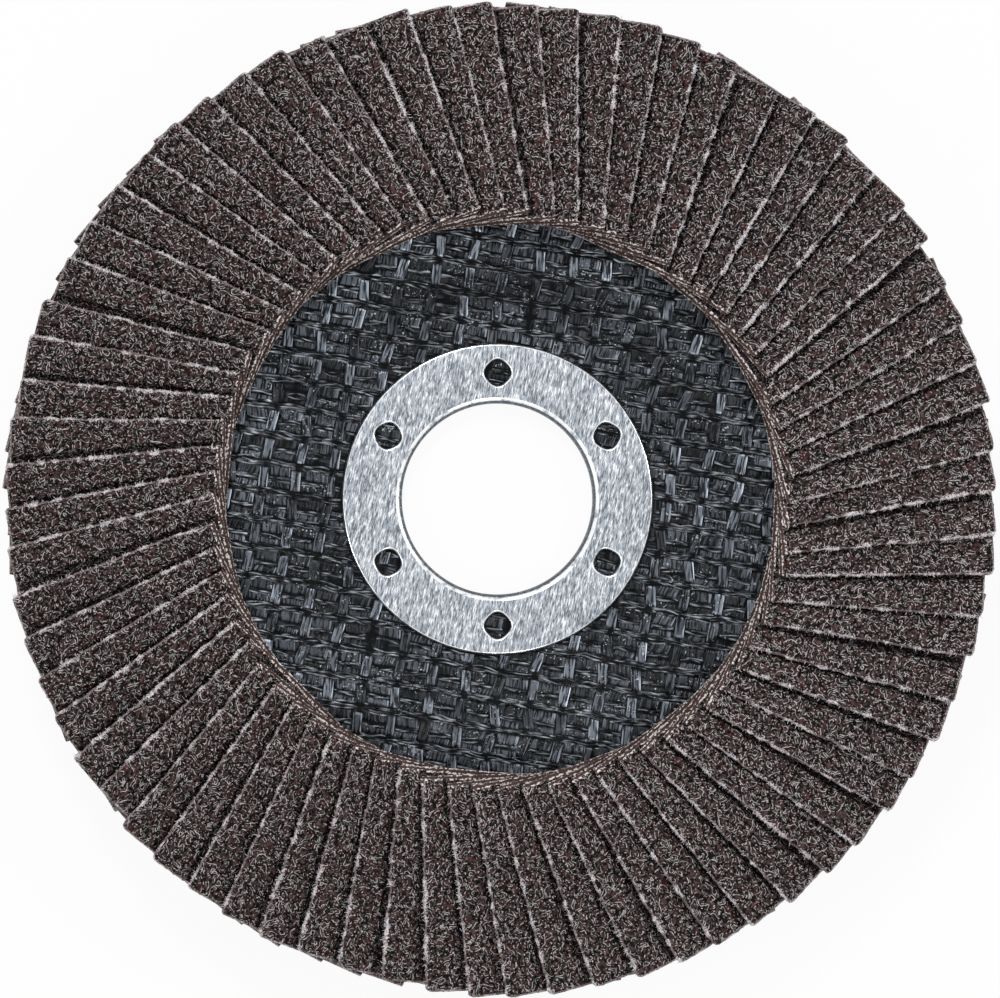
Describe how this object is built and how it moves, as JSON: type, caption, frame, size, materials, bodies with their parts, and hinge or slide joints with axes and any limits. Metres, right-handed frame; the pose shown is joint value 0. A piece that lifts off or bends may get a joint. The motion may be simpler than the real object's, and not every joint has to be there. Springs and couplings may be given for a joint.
{
  "type": "flap disc",
  "caption": "Abrasive flap disc for an angle grinder: overlapping abrasive cloth flaps on a dished woven backing plate with a steel centre ring.",
  "frame": {"origin": "on the disc's axis at the hub's back face, which seats on the grinder's flange", "axes": "+Z along the bore, towards the abrasive face; +Y towards the pierced hole at 12 o'clock"},
  "size_m": [0.115, 0.115, 0.0134],
  "materials": {
    "backing_plate": "glass cloth moulded in black phenolic resin, glossy, with the weave showing",
    "centre_ring": "pressed zinc-plated sheet steel, faintly brushed, bright at its rims",
    "adhesive": "cured filled epoxy",
    "flaps": "resin-bonded abrasive grain on cotton-polyester cloth, grey-brown, rough"
  },
  "bodies": {
    "root": {"backing_plate": "backing_plate", "centre_ring": "centre_ring", "adhesive_bed": "adhesive", "flap_pair_01": "flaps", "flap_pair_02": "flaps", "flap_pair_03": "flaps", "flap_pair_04": "flaps", "flap_pair_05": "flaps", "flap_pair_06": "flaps", "flap_pair_07": "flaps", "flap_pair_08": "flaps", "flap_pair_09": "flaps", "flap_pair_10": "flaps", "flap_pair_11": "flaps", "flap_pair_12": "flaps", "flap_pair_13": "flaps", "flap_pair_14": "flaps", "flap_pair_15": "flaps", "flap_pair_16": "flaps", "flap_pair_17": "flaps", "flap_pair_18": "flaps", "flap_pair_19": "flaps", "flap_pair_20": "flaps", "flap_pair_21": "flaps", "flap_pair_22": "flaps", "flap_pair_23": "flaps", "flap_pair_24": "flaps", "flap_pair_25": "flaps", "flap_pair_26": "flaps", "flap_pair_27": "flaps", "flap_pair_28": "flaps", "flap_pair_29": "flaps", "flap_pair_30": "flaps", "flap_pair_31": "flaps", "flap_pair_32": "flaps", "flap_pair_33": "flaps", "flap_pair_34": "flaps", "flap_pair_35": "flaps", "flap_pair_36": "flaps"}
  },
  "joints": []
}
